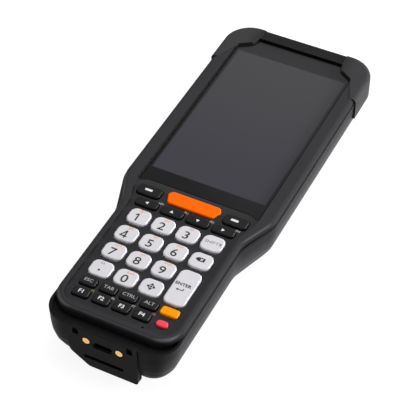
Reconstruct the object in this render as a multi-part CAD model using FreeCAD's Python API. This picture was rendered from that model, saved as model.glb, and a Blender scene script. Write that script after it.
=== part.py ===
# Portable barcode data terminal: a wide head with a display over a narrower grip with a keypad.
# Millimetres. X to the right, Y towards the head, Z out of the face; the flat back lies on Z = 0.
# The layout is worked out from the middle of the number pad and shifted at the end,
# so that the origin is the centre of the terminal's footprint.
import FreeCAD
import Part
import math
import os

Vector = FreeCAD.Vector

# ---- Number pad: white keys on a regular grid
pad_rows = [["1", "2", "3", "shift"],
            ["4", "5", "6", "backspace"],
            ["7", "8", "9", "enter"],
            ["point", "0", "star", ""]]
pad_pitch_x = 11.48
pad_pitch_y = 10.84
pad_gap_x = 1.83
pad_gap_y = 2.14
pad_corner = 2.9

# ---- Small keys under the number pad
small_rows = [["esc", "tab", "ctrl", "alt"],
              ["f1", "f2", "f3", "f4"]]
small_pitch_x = 9.2
small_pitch_y = 6.3
small_width = 7.2
small_height = 4.5
small_corner = 1.0
small_gap = 1.54
mode_width = 7.9
mode_height = 4.4
mode_corner = 1.3
power_width = 5.1
power_height = 3.4
power_corner = 1.65
power_drop = 0.4

# ---- Arrow keys, soft keys and the scan key between the number pad and the display
arrow_names = ["left", "up", "down", "right"]
arrow_pitch = 12.0
arrow_width = 10.2
arrow_height = 4.4
arrow_gap = 2.1
arrow_corner = 1.3
soft_side_gap = 1.6
soft_width = 10.8
soft_height = 6.0
soft_gap = 1.9
soft_corner = 1.6
scan_top_width = 26.8
scan_bottom_width = 21.2
scan_height = 7.2
scan_gap = 1.8
scan_top_corner = 2.3
scan_bottom_corner = 2.0

# ---- Key section
key_rise = 1.1
key_travel = 0.6
key_clearance = 0.35
key_flange = 0.55
key_flange_thickness = 0.7
key_chamfer = 0.4
flange_gap = 0.1
pocket_margin = 0.6
dome_width = 3.0
dome_gap = 0.1
mat_dome_height = 0.4

# ---- Display
glass_thickness = 1.2
glass_edge = 0.2
glass_gap = 0.15
glass_seam_gap = 0.35
notch_width = 7.6
notch_depth = 8.1
notch_lead = 1.4
notch_lead_depth = 4.1
glass_sag = 2.2
glass_sag_width = 4.6
active_width = 54.0
active_length = 87.7
active_side_border = 1.4
active_bottom_border = 7.8
active_top_border = 9.9
window_margin = 0.9
display_clearance = 0.2
gasket_thickness = 0.4
gasket_margin = 0.3

# ---- Front housing
deck_margin_x = 3.255
deck_margin_bottom = 3.45
seam_margin = 2.5
rim_grip = 3.2
rim_head = 7.0
rim_top = 7.7
rim_bottom = 3.9
rim_height = 1.3
rim_slope = 0.5
deck_thickness = 1.5
crown_radius = 1.9
top_bar_fall = 0.1
deck_corner = 6.0
deck_taper_top = 4.6
deck_taper_length = 10.0
head_corner = 12.5
grip_corner = 10.0
shoulder_radius = 14.0
shoulder_margin = 1.0
shoulder_length = 17.0
front_edge_height = 2.1
tongue_depth = 2.7
tongue_thickness = 1.2
tongue_clearance = 0.15
mic_x = 12.1
mic_radius = 0.5
mic_margin = 0.75

# ---- Rear housing
wall = 2.4
seam_height = 0.6
rear_overhang = 0.4
rear_chin = 6.0
rear_shoulder_length = 20.5
rear_shoulder_drop = 0.2
rear_head_corner = 13.0
rear_grip_corner = 10.5
rear_shoulder_radius = 16.0
under_edge_height = 16.0
under_edge_side = 11.8
under_edge_top = 6.0
under_edge_bottom = 8.5
under_edge_corner = 8.0
under_edge_steps = 6
draft = 0.4
trough_floor = 20.3
trough_roof = 1.4
trough_wall = 1.2
trough_undercut = 0.5
trough_neck_rise = 1.0

# ---- Seal in the seam between the housings
seal_width = 1.0

# ---- Corner bumpers on the head
bumper_length = 28.0
bumper_outset = 0.65
bumper_top_outset = 0.0
bumper_bed = 1.0
bumper_cap = 1.5
bumper_lip = 0.2
bumper_bottom = 14.0
bumper_gap = 0.05
bumper_crown = 2.0
bumper_edge_lead = 4.9

# ---- Boards and chassis, stacked under the keypad
mat_thickness = 0.7
mat_half_width = 23.3
mat_end_margin = 0.2
mat_head_margin = 0.5
board_thickness = 1.2
board_margin = 0.4
chassis_thickness = 1.0
chassis_side = 2.0
chassis_flange = 1.2
chassis_overlap = 10.0
main_board_gap = 0.7
main_board_side_gap = 0.5
main_board_short = 18.5
component_height = 1.6
board_end_margin = 3.4
standoff_radius = 2.0
standoff_inset = 3.5

# ---- Battery and its bay
battery_width = 36.6
battery_length = 87.0
battery_thickness = 9.6
battery_gap = 0.3
battery_rest_gap = 0.5
battery_corner = 2.0
battery_lower_gap = 3.2
bay_wall = 1.4
bay_roof = 1.2
ledge_width = 2.0
rail_half_width = 1.0
ledge_thickness = 1.7
contact_block_width = 16.0
contact_block_height = 5.0
contact_block_depth = 3.6
contact_block_clearance = 0.2
contact_block_gap = 0.1

# ---- Battery door, hinged at its lower end
door_thickness = 2.0
door_side_ledge = 1.9
door_gap = 0.3
door_upper_ledge = 5.7
hinge_half_width = 13.0
hinge_side_gap = 0.3
hinge_setback = 2.2
hinge_end_gap = 0.6
hinge_lead = 0.1
pin_radius = 0.5
pin_clearance = 0.05
pin_end = 2.2
pin_end_gap = 0.1

# ---- Door latch, a slider in the door's upper end
latch_half_width = 4.8
latch_length = 5.8
latch_thickness = 1.1
latch_travel = 2.0
latch_rail = 0.8
latch_rail_thickness = 0.5
latch_tongue_half_width = 2.3
latch_tongue_length = 3.2
latch_clearance = 0.1
latch_side_clearance = 0.2
latch_grip_count = 3
latch_grip_depth = 0.3
latch_grip_half_width = 0.4
latch_grip_margin = 1.0
latch_recess = 0.1
latch_mouth_depth = 0.5

# ---- Screws that hold the housings together
screw_radius = 1.0
screw_clearance = 0.05
screw_head_radius = 1.8
screw_head_height = 1.6
screw_head_clearance = 0.1
screw_head_depth = 8.0
screw_engagement = 1.8
screw_tip_gap = 0.3
boss_radius = 2.8
grip_boss_radius = 2.6
grip_boss_tip_radius = 1.8
head_screw_inset = 4.6
head_screw_top = 23.7
head_screw_bottom = 12.4
grip_screw_inset = 10.0
grip_screw_rise = 4.3

# ---- Speaker
speaker_radius = 8.0
speaker_height = 4.0
speaker_from_top = 53.7
speaker_slots = 5
speaker_slot_width = 1.2
speaker_slot_pitch = 2.6
speaker_slot_length = 10.0

# ---- Scan engine and its window in the top end
engine_width = 24.0
engine_depth = 12.0
engine_height = 8.0
engine_floor = 10.0
engine_gap = 2.2
cradle_margin = 3.0
scan_window_width = 30.0
scan_window_height = 9.0
scan_window_thickness = 1.5
scan_window_floor = 11.0
scan_window_rebate = 1.0
scan_window_depth = 1.2
scan_window_clearance = 0.15
scan_window_corner = 1.5

# ---- Contact panel on the bottom end, with the sockets
panel_width = 31.0
panel_thickness = 2.0
panel_proud = 0.6
panel_floor = 1.8
panel_top = 22.6
panel_corner = 1.4
panel_cut_width = 8.8
panel_cut_height = 6.4
panel_cut_radius = 3.0
panel_gap = 0.1
contact_spacing = 14.8
contact_height = 17.2
contact_radius = 1.6
contact_ring = 0.6
contact_ring_depth = 0.4
contact_length = 4.0
contact_clearance = 0.05
usb_height = 16.4
usb_width = 8.94
usb_opening = 3.2
usb_length = 7.3
usb_shell = 0.3
usb_corner = 1.55
usb_clearance = 0.15
usb_recess = 0.4
usb_tongue_width = 6.2
usb_tongue_thickness = 0.7
usb_tongue_setback = 1.2
usb_back = 1.0
locator_spacing = 24.2
locator_width = 2.6
locator_height = 3.4
locator_level = 20.8
locator_depth = 1.5
strap_slot_width = 17.8
strap_slot_height = 2.0
strap_slot_level = 7.5
strap_slot_depth = 1.2
io_board_half_width = 14.0
io_board_thickness = 1.0
io_board_margin = 0.3
io_shelf_margin = 1.0

# ---- Places across the width
pad_columns = len(pad_rows[0])
pad_half_width = (pad_columns * pad_pitch_x - pad_gap_x) / 2
pad_half_height = (len(pad_rows) * pad_pitch_y - pad_gap_y) / 2
deck_half_width = pad_half_width + deck_margin_x
grip_half_width = deck_half_width + rim_grip
glass_half_width = active_width / 2 + active_side_border
head_half_width = glass_half_width + glass_gap + rim_head

# ---- Places along the length, upwards from the number pad
arrow_y = pad_half_height + arrow_gap + arrow_height / 2
soft_y = arrow_y + arrow_height / 2 + soft_gap + soft_height / 2
scan_bottom = arrow_y + arrow_height / 2 + scan_gap
scan_top = scan_bottom + scan_height
soft_x = scan_top_width / 2 + soft_side_gap + soft_width / 2
seam_y = scan_top + seam_margin
glass_bottom = seam_y + glass_seam_gap
active_bottom = glass_bottom + active_bottom_border
active_top = active_bottom + active_length
glass_top = active_top + active_top_border
head_top = glass_top + glass_gap + rim_top

# ---- Places along the length, downwards from the number pad
small_y = -(pad_half_height + small_gap + small_height / 2)
last_small_y = small_y - (len(small_rows) - 1) * small_pitch_y
deck_bottom = last_small_y - small_height / 2 - deck_margin_bottom
front_bottom = deck_bottom - rim_bottom
rear_bottom = front_bottom - rear_chin
rear_top = head_top + rear_overhang
panel_face = rear_bottom - panel_proud
middle_y = (rear_top + bumper_top_outset + panel_face) / 2

# ---- Places across the width, outwards from the battery
bay_half_width = battery_width / 2 + battery_gap
door_half_width = bay_half_width + door_side_ledge
main_board_half_width = bay_half_width + bay_wall + main_board_side_gap
chassis_half_width = main_board_half_width + chassis_side

# ---- Levels, upwards from the back: door, battery, boards, keypad and face
door_recess = door_thickness + door_gap
battery_bottom = door_recess + battery_rest_gap
battery_top = battery_bottom + battery_thickness
bay_ceiling = battery_top + battery_gap
bay_top = bay_ceiling + bay_roof
main_board_bottom = bay_top + main_board_gap
main_board_top = main_board_bottom + board_thickness
chassis_bottom = main_board_top + component_height
chassis_top = chassis_bottom + chassis_thickness
mat_bottom = chassis_top + board_thickness
mat_top = mat_bottom + mat_thickness
dome_top = mat_top + mat_dome_height
flange_bottom = dome_top + dome_gap + key_travel
flange_top = flange_bottom + key_flange_thickness
deck_underside = flange_top + flange_gap
deck_top = deck_underside + deck_thickness
key_top = deck_top + key_rise
body_height = deck_top + rim_height

# ---- Levels, downwards from the face
glass_underside = deck_top - glass_thickness
glass_shelf = glass_underside - gasket_thickness
front_edge = body_height - front_edge_height
rear_height = front_edge - seam_height
tongue_bottom = front_edge - tongue_depth
io_board_top = usb_height - usb_opening / 2

# ---- Battery bay and door along the length
hinge_radius = door_thickness / 2
hinge_y = front_bottom + rear_chin + hinge_lead
hinge_z = hinge_radius
battery_end = hinge_y + battery_lower_gap
battery_head = battery_end + battery_length
door_head = battery_head + battery_gap + door_upper_ledge

smallest_radius = 0.4


def box(x1, x2, y1, y2, z1, z2):
    return Part.makeBox(x2 - x1, y2 - y1, z2 - z1, Vector(x1, y1, z1))


def cylinder(x, y, z1, z2, radius):
    return Part.makeCylinder(radius, z2 - z1, Vector(x, y, z1))


# A closed outline is a list of corners (x, y, radius). This one mirrors the right half, listed
# from top to bottom, to the left.
def mirrored(right_half):
    left_half = [(-x, y, radius) for x, y, radius in reversed(right_half)]
    return right_half + left_half


def rectangle(x, y, width, height, radius):
    right_half = [(width / 2, height / 2, radius), (width / 2, -height / 2, radius)]
    return [(x + dx, y + dy, r) for dx, dy, r in mirrored(right_half)]


def signed_area(points):
    total = 0.0
    for index, (x, y, radius) in enumerate(points):
        next_x, next_y, next_radius = points[(index + 1) % len(points)]
        total += (x * next_y - next_x * y) / 2
    return total


# The outline moved inwards (or outwards, when negative), with its own distance at level edges
# of the top and the bottom. Rounded corners keep their centres.
def inset(points, distance, top=None, bottom=None):
    top = distance if top is None else top
    bottom = distance if bottom is None else bottom
    sense = 1 if signed_area(points) > 0 else -1
    middle = (max(point[1] for point in points) + min(point[1] for point in points)) / 2
    lines = []
    for index, (x, y, radius) in enumerate(points):
        next_x, next_y, next_radius = points[(index + 1) % len(points)]
        along = Vector(next_x - x, next_y - y, 0).normalize()
        inwards = Vector(-along.y, along.x, 0) * sense
        step = distance
        if abs(along.y) < 1e-6:
            step = top if y > middle else bottom
        lines.append((Vector(x, y, 0) + inwards * step, along, step))
    moved = []
    for index, (x, y, radius) in enumerate(points):
        before, before_along, before_step = lines[index - 1]
        after, after_along, after_step = lines[index]
        turn = before_along.x * after_along.y - before_along.y * after_along.x
        gap = after - before
        travel = (gap.x * after_along.y - gap.y * after_along.x) / turn
        corner = before + before_along * travel
        change = (before_step + after_step) / 2
        new_radius = radius - change if turn * sense > 0 else radius + change
        moved.append((corner.x, corner.y, max(new_radius, smallest_radius)))
    return moved


def rounded_wire(points, z):
    corners = []
    for index, (x, y, radius) in enumerate(points):
        corner = Vector(x, y, z)
        before = Vector(points[index - 1][0], points[index - 1][1], z)
        after_point = points[(index + 1) % len(points)]
        after = Vector(after_point[0], after_point[1], z)
        to_before = (before - corner).normalize()
        to_after = (after - corner).normalize()
        half_angle = to_before.getAngle(to_after) / 2
        reach = radius / math.tan(half_angle)
        bisector = (to_before + to_after).normalize()
        centre = corner + bisector * (radius / math.sin(half_angle))
        corners.append((corner + to_before * reach, centre - bisector * radius, corner + to_after * reach))
    edges = []
    for index, (start, middle, end) in enumerate(corners):
        next_start = corners[(index + 1) % len(corners)][0]
        if start.distanceToPoint(end) > 1e-6:
            edges.append(Part.Arc(start, middle, end).toShape())
        if end.distanceToPoint(next_start) > 1e-6:
            edges.append(Part.LineSegment(end, next_start).toShape())
    return Part.Wire(edges)


def prism(points, z1, z2):
    return Part.Face(rounded_wire(points, z1)).extrude(Vector(0, 0, z2 - z1))


# A prism whose outline lies in the X-Z plane, between two places along Y.
def end_prism(points, y1, y2):
    solid = prism(points, -y2, -y1)
    solid.rotate(Vector(0, 0, 0), Vector(1, 0, 0), 90)
    return solid


def edges_at_level(solid, z):
    return [edge for edge in solid.Edges
            if abs(edge.BoundBox.ZMin - z) < 1e-4 and abs(edge.BoundBox.ZMax - z) < 1e-4]


def both_sides(shape):
    return [shape, shape.mirror(Vector(0, 0, 0), Vector(1, 0, 0))]


def cut_all(solid, cutters):
    return solid.cut(Part.makeCompound(cutters))


def fuse_all(solid, others):
    return solid.multiFuse(others).removeSplitter()


# ---- Outlines seen from the front
front_outline = mirrored([
    (head_half_width, head_top, head_corner),
    (head_half_width, seam_y - shoulder_margin, shoulder_radius),
    (grip_half_width, seam_y - shoulder_margin - shoulder_length, shoulder_radius),
    (grip_half_width, front_bottom, grip_corner)])

rear_shoulder_top = seam_y - shoulder_margin - rear_shoulder_drop
rear_outline = mirrored([
    (head_half_width + rear_overhang, rear_top, rear_head_corner),
    (head_half_width + rear_overhang, rear_shoulder_top, shoulder_radius),
    (grip_half_width + rear_overhang, rear_shoulder_top - rear_shoulder_length, rear_shoulder_radius),
    (grip_half_width + rear_overhang, rear_bottom, rear_grip_corner)])

glass_outline = mirrored([
    (glass_half_width - notch_width, glass_top, 0.8),
    (glass_half_width - notch_width + notch_lead, glass_top - notch_lead_depth, 1.2),
    (glass_half_width, glass_top - notch_depth, 1.6),
    (glass_half_width, glass_bottom - glass_sag, 0.8),
    (glass_half_width - glass_sag_width, glass_bottom, 5.0)])

glass_seat = inset(glass_outline, -glass_gap, bottom=-glass_seam_gap)
notch_corners = glass_seat[0:3]
deck_outline = mirrored(notch_corners + [
    (glass_half_width + glass_gap, seam_y - deck_taper_top, 8.0),
    (deck_half_width, seam_y - deck_taper_top - deck_taper_length, 8.0),
    (deck_half_width, deck_bottom, deck_corner)])

active_outline = rectangle(0, (active_bottom + active_top) / 2, active_width, active_length, 0.6)
window_outline = inset(active_outline, -window_margin)

# ---- Screw places: four in the head and two in the grip
screw_places = []
for side in (-1, 1):
    screw_places.append((side * (head_half_width - head_screw_inset), head_top - head_screw_top))
    screw_places.append((side * (head_half_width - head_screw_inset), seam_y - shoulder_margin + head_screw_bottom))
    screw_places.append((side * (grip_half_width - grip_screw_inset), front_bottom + grip_screw_rise))


# ---- Keys
def key_layout():
    keys = {}
    cap_width = pad_pitch_x - pad_gap_x
    cap_height = pad_pitch_y - pad_gap_y
    for row, names in enumerate(pad_rows):
        for column, name in enumerate(names):
            x = (column - (pad_columns - 1) / 2) * pad_pitch_x
            y = ((len(pad_rows) - 1) / 2 - row) * pad_pitch_y
            if name == "enter":
                tall = cap_height + pad_pitch_y
                keys[name] = rectangle(x, y - pad_pitch_y / 2, cap_width, tall, pad_corner)
            elif name:
                keys[name] = rectangle(x, y, cap_width, cap_height, pad_corner)
    for row, names in enumerate(small_rows):
        for column, name in enumerate(names):
            x = (column - len(names) / 2) * small_pitch_x
            y = small_y - row * small_pitch_y
            keys[name] = rectangle(x, y, small_width, small_height, small_corner)
    last_column_x = len(small_rows[0]) / 2 * small_pitch_x
    keys["mode"] = rectangle(last_column_x, small_y, mode_width, mode_height, mode_corner)
    keys["power"] = rectangle(last_column_x, last_small_y - power_drop, power_width, power_height, power_corner)
    for column, name in enumerate(arrow_names):
        x = (column - (len(arrow_names) - 1) / 2) * arrow_pitch
        keys[name] = rectangle(x, arrow_y, arrow_width, arrow_height, arrow_corner)
    keys["soft_left"] = rectangle(-soft_x, soft_y, soft_width, soft_height, soft_corner)
    keys["soft_right"] = rectangle(soft_x, soft_y, soft_width, soft_height, soft_corner)
    keys["scan"] = mirrored([(scan_top_width / 2, scan_top, scan_top_corner),
                             (scan_bottom_width / 2, scan_bottom, scan_bottom_corner)])
    return keys


def outline_centre(points):
    x = (max(point[0] for point in points) + min(point[0] for point in points)) / 2
    y = (max(point[1] for point in points) + min(point[1] for point in points)) / 2
    return x, y


# A cap that stands above the deck, on a square-cornered flange that keeps it in the housing.
def key(cap_outline):
    cap = prism(cap_outline, flange_bottom, key_top)
    cap = cap.makeChamfer(key_chamfer, edges_at_level(cap, key_top))
    square = [(x, y, 0) for x, y, radius in cap_outline]
    flange_outline = [(x, y, 0) for x, y, radius in inset(square, -key_flange)]
    return fuse_all(cap, [prism(flange_outline, flange_bottom, flange_top)])


# ---- Front housing: crowned rim, glass seat, keypad deck with its openings, and a tongue
def front_housing(keys):
    rim = prism(front_outline, front_edge, body_height)
    rim = rim.makeFillet(crown_radius, edges_at_level(rim, body_height))
    tongue_outline = inset(front_outline, wall + tongue_clearance)
    housing = fuse_all(rim, [prism(tongue_outline, tongue_bottom, front_edge)])

    recess = recess_cutter()
    glass_pocket = prism(glass_seat, glass_shelf, deck_top + 0.1)
    window = prism(window_outline, tongue_bottom - 1, glass_shelf + 1)
    housing = cut_all(housing, [recess.fuse(glass_pocket).fuse(window)])

    pocket_outline = inset(front_outline, wall + tongue_clearance + tongue_thickness)
    pocket = prism(pocket_outline, tongue_bottom - 1, deck_underside)
    pocket_end = soft_y + soft_height / 2 + key_flange + pocket_margin
    below_pocket_end = box(-head_half_width, head_half_width, rear_bottom, pocket_end, 0, body_height)
    scan_end = scan_top + key_flange + pocket_margin
    scan_half = scan_top_width / 2 + key_flange + pocket_margin
    scan_pocket = box(-scan_half, scan_half, 0, scan_end, tongue_bottom - 1, deck_underside)
    housing = housing.cut(pocket.common(below_pocket_end).fuse(scan_pocket))

    grip_bosses = [cylinder(x, y, tongue_bottom, deck_underside, grip_boss_tip_radius)
                   for x, y in screw_places if y < 0]
    housing = fuse_all(housing, grip_bosses)
    openings = [prism(inset(outline, -key_clearance), deck_underside - 1, deck_top + 1)
                for outline in keys.values()]
    screw_holes = [cylinder(x, y, tongue_bottom - 1, tongue_bottom + screw_engagement + screw_tip_gap,
                            screw_radius + screw_clearance) for x, y in screw_places]
    microphone = cylinder(mic_x, deck_bottom + mic_margin, deck_underside - 1, deck_top + 1, mic_radius)
    housing = cut_all(housing, openings + screw_holes + [microphone])

    bar_back = glass_top + glass_gap
    slope = Part.makePolygon([Vector(0, bar_back, body_height), Vector(0, head_top + 1, body_height - top_bar_fall),
                              Vector(0, head_top + 1, body_height + 1), Vector(0, bar_back, body_height + 1),
                              Vector(0, bar_back, body_height)])
    bar_half = glass_half_width - notch_width
    wedge = Part.Face(slope).extrude(Vector(2 * bar_half, 0, 0))
    wedge.translate(Vector(-bar_half, 0, 0))
    housing = housing.cut(wedge)
    return housing.cut(bumper_bed_cutter())


# The space above the deck and the glass, with the rim's inner face leaning outwards.
def recess_cutter():
    top = body_height + bumper_lip + 0.5
    lean = rim_slope * (top - deck_top) / rim_height
    return Part.makeLoft([rounded_wire(deck_outline, deck_top),
                          rounded_wire(inset(deck_outline, -lean), top)], True, True)


# ---- Rear housing
# The solid inside the rear housing's outer surface, or inside its inner one at a wall's depth.
# Its sides stand with a little draft and then curve in towards the flat back.
def rear_form(depth, top_level):
    sections = []
    for step in range(under_edge_steps + 1):
        angle = math.pi / 2 * (1 - step / under_edge_steps)
        curve = 1 - math.cos(angle)
        z = depth + (under_edge_height - depth) * (1 - math.sin(angle))
        outline = inset(rear_outline,
                        depth + draft + (under_edge_side - depth) * curve,
                        top=depth + draft + (under_edge_top - depth) * curve,
                        bottom=depth + (under_edge_bottom - depth) * curve)
        rounder = [(x, y, max(radius, under_edge_corner - depth)) for x, y, radius in outline]
        sections.append(rounded_wire(rounder, z))
    left = draft * (rear_height - top_level) / (rear_height - under_edge_height)
    sections.append(rounded_wire(inset(rear_outline, depth + left, bottom=depth), top_level))
    return Part.makeLoft(sections, True, True)


def bay_shapes():
    half = bay_half_width
    lower = battery_end - battery_gap
    upper = battery_head + battery_gap
    bay = box(-half, half, lower, upper, -1, bay_ceiling)
    walls = box(-half - bay_wall, half + bay_wall, lower - bay_wall, upper + bay_wall, 1, bay_top)
    ledge_half = door_half_width + ledge_width
    ledge = box(-ledge_half, ledge_half, hinge_y - ledge_width, door_head + ledge_width,
                1, door_recess + ledge_thickness)
    return bay, walls, ledge


def speaker_place():
    return 0, head_top - speaker_from_top


def rear_housing(outer):
    housing = outer.cut(rear_form(wall, trough_floor - trough_roof))
    upper_cavity = prism(inset(front_outline, wall), trough_floor - trough_roof - 1, rear_height + 1)
    housing = housing.cut(upper_cavity)

    bay, bay_walls, ledge = bay_shapes()
    bosses = [cylinder(x, y, 0, tongue_bottom, boss_radius if y > 0 else grip_boss_radius)
              for x, y in screw_places]
    half_rail = chassis_half_width - chassis_flange / 2
    rail = box(half_rail - rail_half_width, half_rail + rail_half_width, battery_end, battery_head, 1, bay_top)
    posts = [cylinder(x, y, 1, main_board_bottom, standoff_radius) for x, y in standoff_places()]
    cradle_half = engine_width / 2 - cradle_margin
    engine_y = engine_back()
    cradle = box(-cradle_half, cradle_half, engine_y + 1, engine_y + engine_depth - 1, 1, engine_floor)
    io_shelf_half = io_board_half_width - io_shelf_margin
    io_shelf = box(-io_shelf_half, io_shelf_half, rear_bottom + wall, hinge_y - ledge_width,
                   1, io_board_top - io_board_thickness)
    inner = [bay_walls, ledge, cradle, io_shelf] + bosses + posts + both_sides(rail)
    fittings = Part.makeCompound(inner).common(outer)
    housing = fuse_all(housing, fittings.Solids + [panel_nose()])

    ear_inner = hinge_half_width + hinge_side_gap
    door_space = box(-door_half_width - door_gap, door_half_width + door_gap,
                     hinge_y + hinge_setback - hinge_end_gap, door_head + door_gap, -1, door_recess)
    barrel_space = box(-ear_inner, ear_inner, hinge_y - hinge_radius - door_gap,
                       hinge_y + hinge_setback, -1, door_recess)
    pin_hole = pin_cylinder(pin_radius + pin_clearance, ear_inner + pin_end)
    shanks = [cylinder(x, y, -1, body_height, screw_radius + screw_clearance) for x, y in screw_places]
    heads = [cylinder(x, y, -1, screw_head_depth, screw_head_radius + screw_head_clearance)
             for x, y in screw_places]
    cutters = [bay.fuse(door_space).fuse(barrel_space), pin_hole] + shanks + heads
    housing = cut_all(housing, cutters)

    trough = prism(inset(rear_outline, trough_wall), trough_floor, body_height)
    trough = trough.cut(prism(inset(front_outline, trough_undercut), trough_floor - 1, body_height + 1))
    below_grip = box(-head_half_width, head_half_width, rear_bottom, small_y, 0, body_height)
    neck_bottom = rear_shoulder_top - rear_shoulder_length - trough_neck_rise
    neck = box(-head_half_width, head_half_width, neck_bottom, seam_y - shoulder_margin, 0, body_height)
    housing = housing.cut(trough.common(below_grip.fuse(neck)))
    housing = cut_all(housing, [panel_recess()] + scan_window_cutters() + speaker_cutters())
    block_half = contact_block_width / 2 + contact_block_clearance
    block_bottom = contact_block_floor() - contact_block_clearance
    block_top = contact_block_floor() + contact_block_height + contact_block_clearance
    block_hole = box(-block_half, block_half, battery_head, battery_head + battery_gap + bay_wall + 1,
                     block_bottom, block_top)
    return housing.cut(block_hole).cut(bumper_bed_cutter())


def contact_block_floor():
    return (battery_bottom + battery_top - contact_block_height) / 2


def standoff_places():
    x = main_board_half_width - standoff_inset
    top = main_board_head() - standoff_inset
    bottom = door_head + ledge_width + standoff_inset
    return [(-x, top), (x, top), (-x, bottom), (x, bottom)]


def main_board_head():
    return active_top - main_board_short


def engine_back():
    return rear_top - scan_window_depth - scan_window_thickness - engine_gap - engine_depth


def speaker_cutters():
    x, y = speaker_place()
    slots = []
    for index in range(speaker_slots):
        slot_y = y + (index - (speaker_slots - 1) / 2) * speaker_slot_pitch
        slot = rectangle(x, slot_y, speaker_slot_length, speaker_slot_width, speaker_slot_width / 2 - 0.01)
        slots.append(prism(slot, -1, wall + 1))
    return slots


# ---- Scan window: a plate set in a rebate from the inside, behind a smaller opening
def scan_window_outline(growth):
    level = scan_window_floor + scan_window_height / 2
    return rectangle(0, level, scan_window_width + 2 * growth, scan_window_height + 2 * growth,
                     scan_window_corner)


def scan_window_cutters():
    seat = rear_top - scan_window_depth
    opening = end_prism(scan_window_outline(-scan_window_rebate), seat - 1, rear_top + 1)
    rebate = end_prism(scan_window_outline(scan_window_clearance), seat - 3 * scan_window_thickness, seat)
    return [opening.fuse(rebate)]


def scan_window():
    seat = rear_top - scan_window_depth
    return end_prism(scan_window_outline(0), seat - scan_window_thickness, seat)


# ---- Bottom end: the contact panel with its sockets
# The panel's lower left corner is cut off, which leaves room for a strap at the slot's end.
def panel_outline(growth):
    half = panel_width / 2
    corners = [(half, panel_floor, panel_corner), (half, panel_top, panel_corner),
               (-half, panel_top, panel_corner), (-half, panel_floor + panel_cut_height, panel_cut_radius),
               (panel_cut_width - half, panel_floor, panel_cut_radius)]
    return inset(corners, -growth)


def panel_back():
    return panel_face + panel_thickness


def usb_outline(growth):
    return rectangle(0, usb_height, usb_width + 2 * growth, usb_opening + 2 * growth, usb_corner + growth)


def contact_cylinder(x, y1, y2, radius):
    return Part.makeCylinder(radius, y2 - y1, Vector(x, y1, contact_height), Vector(0, 1, 0))


def contact_cutters(x):
    hole = contact_cylinder(x, panel_face - 1, rear_bottom + wall + 1, contact_radius + contact_clearance)
    ring = contact_cylinder(x, panel_face - 1, panel_face + contact_ring_depth, contact_radius + contact_ring)
    return hole.fuse(ring)


def usb_hole():
    return end_prism(usb_outline(usb_clearance), panel_face - 1, rear_bottom + wall + 1)


def panel_recess():
    recess = end_prism(panel_outline(panel_gap), panel_face - 1, panel_back())
    shapes = [recess, usb_hole()] + [contact_cutters(side * contact_spacing / 2) for side in (-1, 1)]
    return shapes[0].multiFuse(shapes[1:])


# A block behind the panel's lower half, where the bottom end curves away from the panel.
def panel_nose():
    block = end_prism(panel_outline(panel_gap), rear_bottom, rear_bottom + wall)
    return block.common(box(-panel_width, panel_width, rear_bottom, rear_bottom + wall, 0, under_edge_height))


def contact_panel():
    panel = end_prism(panel_outline(0), panel_face, panel_back())
    locators = [end_prism(rectangle(side * locator_spacing / 2, locator_level, locator_width, locator_height, 0.5),
                          panel_face - 1, panel_face + locator_depth) for side in (-1, 1)]
    strap_slot = end_prism(rectangle(0, strap_slot_level, strap_slot_width, strap_slot_height, 0.7),
                           panel_face - 1, panel_face + strap_slot_depth)
    contacts = [contact_cutters(side * contact_spacing / 2) for side in (-1, 1)]
    return cut_all(panel, locators + [strap_slot, usb_hole()] + contacts)


def charge_contacts():
    pins = [contact_cylinder(side * contact_spacing / 2, panel_face, panel_face + contact_length, contact_radius)
            for side in (-1, 1)]
    return Part.makeCompound(pins)


def usb_socket():
    mouth = panel_face + usb_recess
    shell = end_prism(usb_outline(0), mouth, mouth + usb_length)
    hollow = end_prism(usb_outline(-usb_shell), mouth - 1, mouth + usb_length - usb_back)
    tongue = end_prism(rectangle(0, usb_height, usb_tongue_width, usb_tongue_thickness, 0.1),
                       mouth + usb_tongue_setback, mouth + usb_length - usb_back)
    return fuse_all(shell.cut(hollow), [tongue])


def io_board():
    lower = rear_bottom + wall + io_board_margin
    upper = hinge_y - ledge_width - io_board_margin
    return box(-io_board_half_width, io_board_half_width, lower, upper,
               io_board_top - io_board_thickness, io_board_top)


# ---- Corner bumpers: rubber corners that wrap the head outside the glass's notches
def bumper_zone(growth):
    lead_x = notch_corners[2][0] + bumper_edge_lead
    low = head_top - bumper_length
    far_x = head_half_width + 5
    far_y = head_top + 5
    corners = [(notch_corners[0][0], far_y, 0)]
    corners += [(x, y, 0) for x, y, radius in notch_corners]
    corners += [(lead_x, low, 0), (far_x, low, 0), (far_x, far_y, 0)]
    return [(x, y, 0) for x, y, radius in inset(corners, -growth)]


def bumper_core():
    return prism(inset(rear_outline, bumper_bed), 0, body_height - bumper_cap + bumper_lip)


def bumper_bed_cutter():
    zones = both_sides(prism(bumper_zone(bumper_gap), bumper_bottom - bumper_gap, body_height + 1))
    return zones[0].fuse(zones[1]).cut(bumper_core())


def corner_bumper():
    outline = inset(rear_outline, -bumper_outset, top=-bumper_top_outset)
    outer = prism(outline, bumper_bottom, body_height + bumper_lip)
    outer = outer.makeFillet(bumper_crown, edges_at_level(outer, body_height + bumper_lip))
    bumper = outer.common(prism(bumper_zone(0), 0, body_height + 1))
    return bumper.cut(bumper_core()).cut(recess_cutter())


# ---- Display
def cover_glass():
    glass = prism(glass_outline, glass_underside, deck_top)
    return glass.makeChamfer(glass_edge, edges_at_level(glass, deck_top))


def display_gasket():
    ring = prism(inset(glass_outline, gasket_margin), glass_shelf, glass_underside)
    return ring.cut(prism(window_outline, glass_shelf - 1, glass_underside + 1))


def display_module():
    return prism(inset(window_outline, display_clearance), chassis_top, glass_shelf)


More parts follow.
